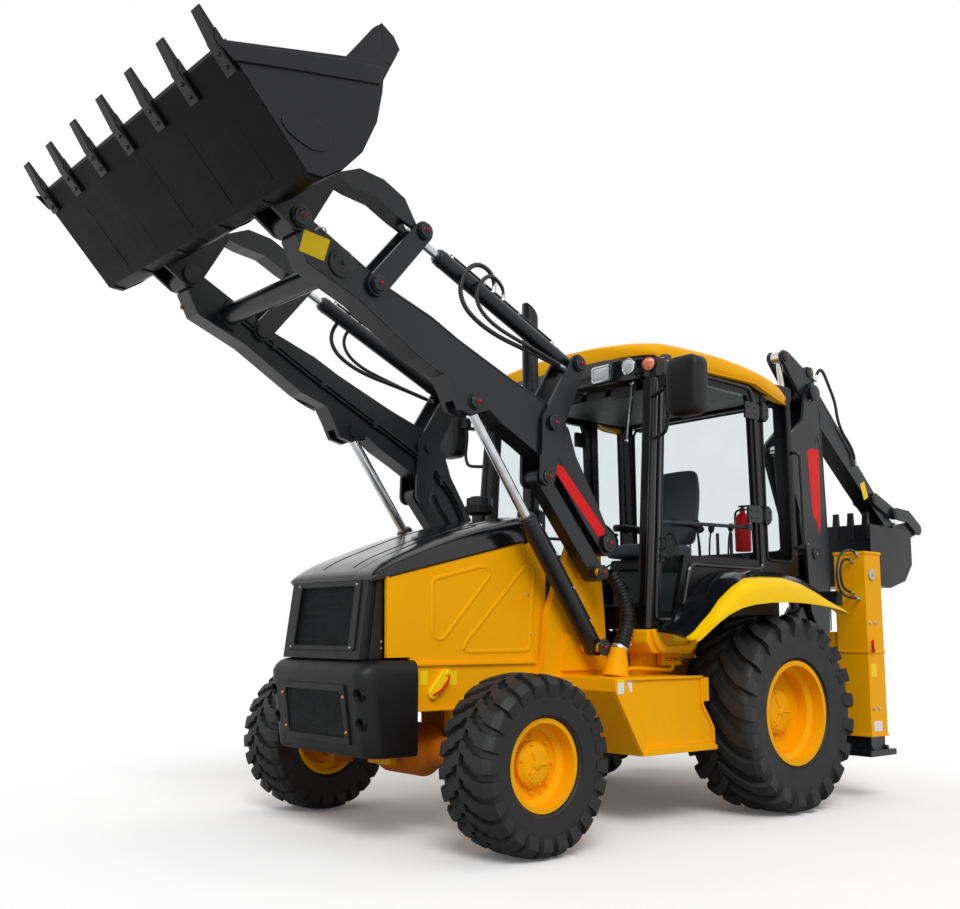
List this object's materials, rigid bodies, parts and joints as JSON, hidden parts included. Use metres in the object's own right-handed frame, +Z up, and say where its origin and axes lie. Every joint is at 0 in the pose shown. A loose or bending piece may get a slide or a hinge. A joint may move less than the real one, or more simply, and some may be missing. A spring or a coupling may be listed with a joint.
{
  "type": "backhoe loader",
  "caption": "Tractor with a parallel-lift front loader bucket, glazed cab, drop stabilisers and a side-shift digging arm folded behind it.",
  "frame": {"origin": "on the ground in the middle of the machine's length and width", "axes": "+Z up, -Y towards the front loader bucket, +X towards the machine's left side"},
  "size_m": [2.42, 7.4202, 4.0739],
  "materials": {
    "yellow_paint": "gloss",
    "black_paint": "satin",
    "dark_paint": "satin",
    "axle_paint": "satin",
    "bare_steel": "brushed",
    "chrome_rod": "polished",
    "engine_iron": "cast",
    "tyre_rubber": "matt",
    "hood_plastic": "gloss",
    "trim_plastic": "grained",
    "yellow_plastic": "gloss",
    "window_glass": "tinted",
    "seat_fabric": "woven"
  },
  "bodies": {
    "chassis": {"main_frame": "yellow_paint", "engine_block": "engine_iron", "axles": "axle_paint", "bumper": "trim_plastic", "grille_panel": "trim_plastic", "side_panels": "yellow_plastic", "stacks": "dark_paint", "side_tanks": "yellow_plastic", "cab_frame": "black_paint", "cab_glass": "window_glass", "cab_roof": "yellow_plastic", "fenders": "yellow_plastic", "seat": "seat_fabric", "cab_fittings": "trim_plastic", "rear_frame": "yellow_paint"},
    "left_knuckle": {"left_knuckle": "axle_paint"},
    "right_knuckle": {"right_knuckle": "axle_paint"},
    "steering_wheel": {"steering_wheel": "trim_plastic"},
    "engine_hood": {"engine_hood": "hood_plastic"},
    "left_door": {"left_door": "black_paint", "left_door_glass": "window_glass"},
    "right_door": {"right_door": "black_paint", "right_door_glass": "window_glass"},
    "loader_boom": {"loader_boom": "dark_paint"},
    "bell_cranks": {"bell_cranks": "dark_paint"},
    "levelling_links": {"levelling_links": "dark_paint"},
    "lift_barrels": {"lift_barrels": "dark_paint"},
    "lift_rods": {"lift_rods": "chrome_rod"},
    "lever_pins": {"lever_pins": "bare_steel"},
    "levers": {"levers": "dark_paint"},
    "link_pins": {"link_pins": "bare_steel"},
    "curved_links": {"curved_links": "dark_paint"},
    "tilt_pins": {"tilt_pins": "bare_steel"},
    "tilt_barrels": {"tilt_barrels": "dark_paint"},
    "tilt_rods": {"tilt_rods": "chrome_rod"},
    "bucket_pins": {"bucket_pins": "bare_steel"},
    "loader_bucket": {"loader_bucket": "black_paint"},
    "left_stabiliser": {"left_stabiliser": "black_paint"},
    "right_stabiliser": {"right_stabiliser": "black_paint"},
    "carriage": {"carriage": "black_paint"},
    "swing_post": {"swing_post": "black_paint"},
    "backhoe_boom": {"backhoe_boom": "black_paint"},
    "dipper": {"dipper": "black_paint"},
    "backhoe_bucket": {"backhoe_bucket": "black_paint"},
    "tipping_levers": {"tipping_levers": "dark_paint"},
    "tipping_links": {"tipping_links": "dark_paint"},
    "backhoe_boom_barrel": {"backhoe_boom_barrel": "dark_paint"},
    "backhoe_boom_rod": {"backhoe_boom_rod": "chrome_rod"},
    "backhoe_dipper_barrel": {"backhoe_dipper_barrel": "dark_paint"},
    "backhoe_dipper_rod": {"backhoe_dipper_rod": "chrome_rod"},
    "backhoe_bucket_barrel": {"backhoe_bucket_barrel": "dark_paint"},
    "backhoe_bucket_rod": {"backhoe_bucket_rod": "chrome_rod"},
    "front_left_wheel": {"front_left_rim": "yellow_paint", "front_left_tyre": "tyre_rubber"},
    "front_right_wheel": {"front_right_rim": "yellow_paint", "front_right_tyre": "tyre_rubber"},
    "rear_left_wheel": {"rear_left_rim": "yellow_paint", "rear_left_tyre": "tyre_rubber"},
    "rear_right_wheel": {"rear_right_rim": "yellow_paint", "rear_right_tyre": "tyre_rubber"}
  },
  "joints": [
    {"name": "left_front_wheel_spin", "type": "hinge", "parent": "left_knuckle", "child": "front_left_wheel", "pos_m": [0.985, -1.67493, 0.4605], "axis": [1, 0, 0], "continuous": true},
    {"name": "left_rear_wheel_spin", "type": "hinge", "parent": "chassis", "child": "rear_left_wheel", "pos_m": [0.905, 0.58507, 0.626], "axis": [1, 0, 0], "continuous": true},
    {"name": "right_front_wheel_spin", "type": "hinge", "parent": "right_knuckle", "child": "front_right_wheel", "pos_m": [-0.985, -1.67493, 0.4605], "axis": [1, 0, 0], "continuous": true},
    {"name": "right_rear_wheel_spin", "type": "hinge", "parent": "chassis", "child": "rear_right_wheel", "pos_m": [-0.905, 0.58507, 0.626], "axis": [1, 0, 0], "continuous": true},
    {"name": "left_steer", "type": "hinge", "parent": "chassis", "child": "left_knuckle", "pos_m": [0.8, -1.67493, 0.4605], "axis": [0, 0, 1], "range_deg": [-40, 40]},
    {"name": "right_steer", "type": "hinge", "parent": "chassis", "child": "right_knuckle", "pos_m": [-0.8, -1.67493, 0.4605], "axis": [0, 0, 1], "range_deg": [-40.6, 40.6]},
    {"name": "steering_wheel_turn", "type": "hinge", "parent": "chassis", "child": "steering_wheel", "pos_m": [0, -0.11493, 1.8], "axis": [0, 0.5736, 0.8192], "range_deg": [-560.6, 560.6]},
    {"name": "hood_lift", "type": "hinge", "parent": "chassis", "child": "engine_hood", "pos_m": [0, -1.11493, 1.826], "axis": [-1, 0, 0], "range_deg": [0, 60]},
    {"name": "left_door_swing", "type": "hinge", "parent": "chassis", "child": "left_door", "pos_m": [0.805, 0.75007, 1.9], "axis": [0, 0, 1], "range_deg": [0, 90]},
    {"name": "right_door_swing", "type": "hinge", "parent": "chassis", "child": "right_door", "pos_m": [-0.805, 0.75007, 1.9], "axis": [0, 0, -1], "range_deg": [0, 90]},
    {"name": "loader_raise", "type": "hinge", "parent": "chassis", "child": "loader_boom", "pos_m": [0, -0.67393, 1.667], "axis": [-1, 0, 0], "range_deg": [-65.7, 7]},
    {"name": "bell_crank_turn", "type": "hinge", "parent": "loader_boom", "child": "bell_cranks", "pos_m": [0, -1.15493, 2.348], "axis": [1, 0, 0], "range_deg": [-39.51, 4.75]},
    {"name": "levelling_link_turn", "type": "hinge", "parent": "chassis", "child": "levelling_links", "pos_m": [0, -0.73393, 1.488], "axis": [1, 0, 0], "range_deg": [-8.38, 73.6]},
    {"name": "lift_barrel_turn", "type": "hinge", "parent": "chassis", "child": "lift_barrels", "pos_m": [0, -0.73493, 1.042], "axis": [1, 0, 0], "range_deg": [-6.56, 56.51]},
    {"name": "lift_rod_slide", "type": "slide", "parent": "lift_barrels", "child": "lift_rods", "axis": [0, -0.5938, 0.8046], "range_m": [-0.6464, 0.0724]},
    {"name": "lever_pin_turn", "type": "hinge", "parent": "loader_boom", "child": "lever_pins", "pos_m": [0, -2.43293, 2.926], "axis": [1, 0, 0], "range_deg": [-43.91, 5.21]},
    {"name": "bucket_level", "type": "hinge", "parent": "loader_boom", "child": "bucket_pins", "pos_m": [0, -2.91293, 3.176], "axis": [1, 0, 0], "range_deg": [-66.3, 7.6]},
    {"name": "tilt_pin_turn", "type": "hinge", "parent": "bell_cranks", "child": "tilt_pins", "pos_m": [0, -0.93393, 2.737], "axis": [1, 0, 0], "range_deg": [-5.15, 43.35]},
    {"name": "bucket_tilt", "type": "hinge", "parent": "bucket_pins", "child": "loader_bucket", "pos_m": [0, -2.91293, 3.176], "axis": [1, 0, 0], "range_deg": [0, 90]},
    {"name": "lever_turn", "type": "hinge", "parent": "lever_pins", "child": "levers", "pos_m": [0, -2.43293, 2.926], "axis": [1, 0, 0], "range_deg": [-0.6, 59.63]},
    {"name": "link_pin_turn", "type": "hinge", "parent": "levers", "child": "link_pins", "pos_m": [0, -2.12793, 3.286], "axis": [1, 0, 0], "range_deg": [-5.62, 47.7]},
    {"name": "curved_link_turn", "type": "hinge", "parent": "link_pins", "child": "curved_links", "pos_m": [0, -2.12793, 3.286], "axis": [1, 0, 0], "range_deg": [-42.13, 0.6]},
    {"name": "tilt_barrel_turn", "type": "hinge", "parent": "tilt_pins", "child": "tilt_barrels", "pos_m": [0, -0.93393, 2.737], "axis": [1, 0, 0], "range_deg": [-0.6, 4.23]},
    {"name": "tilt_rod_slide", "type": "slide", "parent": "tilt_barrels", "child": "tilt_rods", "axis": [0, -0.9086, 0.4178], "range_m": [-0.004, 0.4588]},
    {"name": "left_stabiliser_down", "type": "slide", "parent": "chassis", "child": "left_stabiliser", "axis": [0, 0, -1], "range_m": [0, 0.6]},
    {"name": "right_stabiliser_down", "type": "slide", "parent": "chassis", "child": "right_stabiliser", "axis": [0, 0, -1], "range_m": [0, 0.6]},
    {"name": "side_shift", "type": "slide", "parent": "chassis", "child": "carriage", "axis": [1, 0, 0], "range_m": [-0.8, 0.3]},
    {"name": "swing", "type": "hinge", "parent": "carriage", "child": "swing_post", "pos_m": [0.25, 1.96507, 0.83], "axis": [0, 0, 1], "range_deg": [-90, 90]},
    {"name": "backhoe_boom_lower", "type": "hinge", "parent": "swing_post", "child": "backhoe_boom", "pos_m": [0.25, 2.14507, 0.645], "axis": [-1, 0, 0], "range_deg": [0, 110]},
    {"name": "dipper_out", "type": "hinge", "parent": "backhoe_boom", "child": "dipper", "pos_m": [0.25, 2.11507, 3.04], "axis": [1, 0, 0], "range_deg": [0, 100]},
    {"name": "backhoe_bucket_open", "type": "hinge", "parent": "dipper", "child": "backhoe_bucket", "pos_m": [0.25, 3.33507, 1.99], "axis": [1, 0, 0], "range_deg": [0, 115]},
    {"name": "backhoe_boom_barrel_turn", "type": "hinge", "parent": "swing_post", "child": "backhoe_boom_barrel", "pos_m": [0.25, 1.91507, 1.28], "axis": [1, 0, 0], "range_deg": [-120.98, 0.6]},
    {"name": "backhoe_boom_rod_slide", "type": "slide", "parent": "backhoe_boom_barrel", "child": "backhoe_boom_rod", "axis": [0, -0.126, 0.992], "range_m": [-0.004, 1.0657]},
    {"name": "dipper_barrel_turn", "type": "hinge", "parent": "backhoe_boom", "child": "backhoe_dipper_barrel", "pos_m": [0.25, 2.07507, 1.748], "axis": [1, 0, 0], "range_deg": [-0.69, 0.6]},
    {"name": "dipper_rod_slide", "type": "slide", "parent": "backhoe_dipper_barrel", "child": "backhoe_dipper_rod", "axis": [0, -0.1714, 0.9852], "range_m": [-0.6239, 0.004]},
    {"name": "bucket_barrel_turn", "type": "hinge", "parent": "dipper", "child": "backhoe_bucket_barrel", "pos_m": [0.25, 2.13507, 3.22], "axis": [1, 0, 0], "range_deg": [-0.6, 0.88]},
    {"name": "bucket_rod_slide", "type": "slide", "parent": "backhoe_bucket_barrel", "child": "backhoe_bucket_rod", "axis": [0, 0.7379, -0.6749], "range_m": [-0.5639, 0.004]},
    {"name": "tipping_lever_turn", "type": "hinge", "parent": "dipper", "child": "tipping_levers", "pos_m": [0.25, 3.02307, 2.258], "axis": [1, 0, 0], "range_deg": [-0.6, 136.59]},
    {"name": "tipping_link_turn", "type": "hinge", "parent": "tipping_levers", "child": "tipping_links", "pos_m": [0.25, 3.30507, 2.15], "axis": [1, 0, 0], "range_deg": [-164.12, 0.6]}
  ],
  "couplings": [
    {"joint": "right_steer", "follows": "left_steer", "ratio": 1},
    {"joint": "steering_wheel_turn", "follows": "left_steer", "ratio": 14},
    {"joint": "bell_crank_turn", "follows": "loader_raise", "ratio": 0.5923},
    {"joint": "levelling_link_turn", "follows": "loader_raise", "ratio": -1.1111},
    {"joint": "lift_barrel_turn", "follows": "loader_raise", "ratio": -0.85096},
    {"joint": "lift_rod_slide", "follows": "loader_raise", "m_per_rad": 0.56019},
    {"joint": "lever_pin_turn", "follows": "loader_raise", "ratio": 0.65917},
    {"joint": "bucket_level", "follows": "loader_raise", "ratio": 1},
    {"joint": "tilt_pin_turn", "follows": "loader_raise", "ratio": -0.65068},
    {"joint": "lever_turn", "follows": "bucket_tilt", "ratio": 0.65587},
    {"joint": "link_pin_turn", "follows": "loader_raise", "ratio": -0.71685},
    {"joint": "curved_link_turn", "follows": "bucket_tilt", "ratio": -0.4614},
    {"joint": "tilt_barrel_turn", "follows": "bucket_tilt", "ratio": 0.04032},
    {"joint": "tilt_rod_slide", "follows": "bucket_tilt", "m_per_rad": 0.2895},
    {"joint": "backhoe_boom_barrel_turn", "follows": "backhoe_boom_lower", "ratio": -1.0944},
    {"joint": "backhoe_boom_rod_slide", "follows": "backhoe_boom_lower", "m_per_rad": 0.55301},
    {"joint": "dipper_barrel_turn", "follows": "dipper_out", "ratio": -0.00094},
    {"joint": "dipper_rod_slide", "follows": "dipper_out", "m_per_rad": -0.35516},
    {"joint": "bucket_barrel_turn", "follows": "backhoe_bucket_open", "ratio": 0.00246},
    {"joint": "bucket_rod_slide", "follows": "backhoe_bucket_open", "m_per_rad": -0.27896},
    {"joint": "tipping_lever_turn", "follows": "backhoe_bucket_open", "ratio": 1.1825},
    {"joint": "tipping_link_turn", "follows": "backhoe_bucket_open", "ratio": -1.4219}
  ]
}
